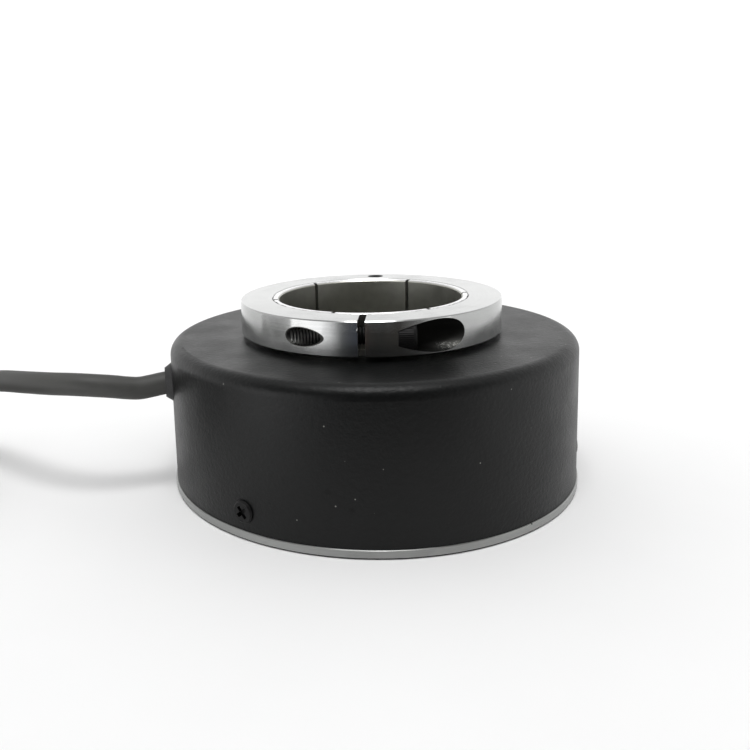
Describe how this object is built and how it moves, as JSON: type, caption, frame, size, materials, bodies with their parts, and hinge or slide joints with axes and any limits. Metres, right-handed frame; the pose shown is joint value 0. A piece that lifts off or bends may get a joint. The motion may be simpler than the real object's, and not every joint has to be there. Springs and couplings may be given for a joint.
{
  "type": "rotary encoder",
  "caption": "Hollow-shaft optical rotary encoder: black round housing on an aluminium flange, through shaft with a split clamp ring, and a fixed grey side cable.",
  "frame": {"origin": "on the shaft axis, at the flange's underside, which is the face it stands on", "axes": "+Z along the shaft axis, from the flange to the clamp ring; the cable leaves along -X; the scanning head is on the +X side"},
  "size_m": [0.2381, 0.118, 0.0445],
  "materials": {
    "flange_aluminium": "turned, clear",
    "cover_paint": "fine wrinkle, satin black",
    "black_screw": "black oxide, oiled",
    "seal_rubber": "matt black",
    "bearing_steel": "ground",
    "ball_steel": "polished",
    "cage_brass": "satin",
    "bearing_shield": "matt black",
    "spring_steel": "bright",
    "shaft_steel": "dark ground bore, bright end",
    "ring_aluminium": "bright turned",
    "disc_glass": "clear with chrome lines",
    "standoff_brass": "bright",
    "board_laminate": "green solder mask",
    "chip_plastic": "matt black",
    "holder_plastic": "matt black",
    "led_lens": "tinted clear",
    "header_plastic": "natural nylon",
    "core_insulation": "coloured PVC, one colour to a core",
    "cable_jacket": "soft grey PVC",
    "tie_plastic": "black",
    "sleeve_plastic": "black shrink sleeve",
    "ferrule": "white collar, tinned pin"
  },
  "bodies": {
    "stator": {"base_flange": "flange_aluminium", "housing_cover": "cover_paint", "cover_screws": "black_screw", "cover_seal": "seal_rubber", "lower_bearing_outer": "bearing_steel", "lower_bearing_shields": "bearing_shield", "upper_bearing_outer": "bearing_steel", "upper_bearing_shields": "bearing_shield", "bearing_spacer": "flange_aluminium", "preload_spring": "spring_steel", "hub_retaining_ring": "black_screw", "shaft_seal": "seal_rubber", "board_standoffs": "standoff_brass", "circuit_board": "board_laminate", "board_screws": "spring_steel", "board_chips": "chip_plastic", "detector_array": "chip_plastic", "scanning_mask": "disc_glass", "led_holder": "holder_plastic", "emitter_led": "led_lens", "wire_header": "header_plastic", "signal_wires": "core_insulation", "cable_anchor": "header_plastic", "cable_gland": "seal_rubber", "cable_lead": "cable_jacket", "cable_coil": "cable_jacket", "cable_tail": "cable_jacket", "coil_ties": "tie_plastic", "end_sleeve": "sleeve_plastic", "lead_wires": "core_insulation", "lead_ferrules": "ferrule"},
    "rotor": {"hollow_shaft": "shaft_steel", "shaft_retaining_ring": "black_screw", "clamp_ring": "ring_aluminium", "clamp_screw": "black_screw", "disc_hub": "ring_aluminium", "code_disc": "disc_glass", "disc_washer": "ring_aluminium", "disc_retaining_ring": "black_screw", "lower_bearing_inner": "bearing_steel", "upper_bearing_inner": "bearing_steel"},
    "lower_cage": {"lower_bearing_balls": "ball_steel", "lower_bearing_cage": "cage_brass"},
    "upper_cage": {"upper_bearing_balls": "ball_steel", "upper_bearing_cage": "cage_brass"}
  },
  "joints": [
    {"name": "shaft_spin", "type": "hinge", "parent": "stator", "child": "rotor", "pos_m": [0, 0, 0.0225], "axis": [0, 0, 1], "continuous": true},
    {"name": "lower_cage_spin", "type": "hinge", "parent": "stator", "child": "lower_cage", "pos_m": [0, 0, 0.0061], "axis": [0, 0, 1], "continuous": true},
    {"name": "upper_cage_spin", "type": "hinge", "parent": "stator", "child": "upper_cage", "pos_m": [0, 0, 0.0171], "axis": [0, 0, 1], "continuous": true}
  ],
  "couplings": [
    {"joint": "lower_cage_spin", "follows": "shaft_spin", "ratio": 0.4661},
    {"joint": "upper_cage_spin", "follows": "shaft_spin", "ratio": 0.4661}
  ]
}
